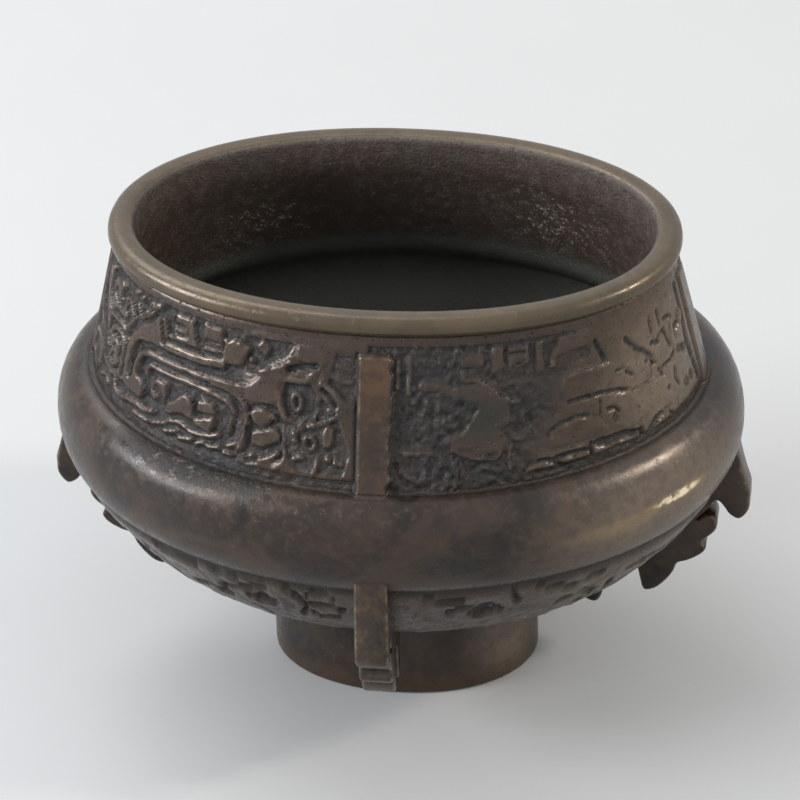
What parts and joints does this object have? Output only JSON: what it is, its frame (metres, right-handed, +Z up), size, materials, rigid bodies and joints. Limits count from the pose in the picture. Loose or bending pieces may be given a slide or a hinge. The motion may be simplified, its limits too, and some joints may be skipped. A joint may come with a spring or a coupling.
{
  "type": "bronze censer",
  "caption": "Oval footed bronze incense burner with a carved neck and bowl, flat ribs and hooked flanges, hollow and open at the top.",
  "frame": {"origin": "middle of the underside of the foot, on the surface that it stands on", "axes": "+Z up, +X along the long axis of the oval mouth, the face seen in the picture towards -Y"},
  "size_m": [0.1126, 0.091, 0.0802],
  "materials": {
    "bronze": "dark brown patina, rubbed to golden brown on the lip and the belly, dull grey in the carving"
  },
  "bodies": {
    "root": {"censer": "bronze"}
  },
  "joints": []
}
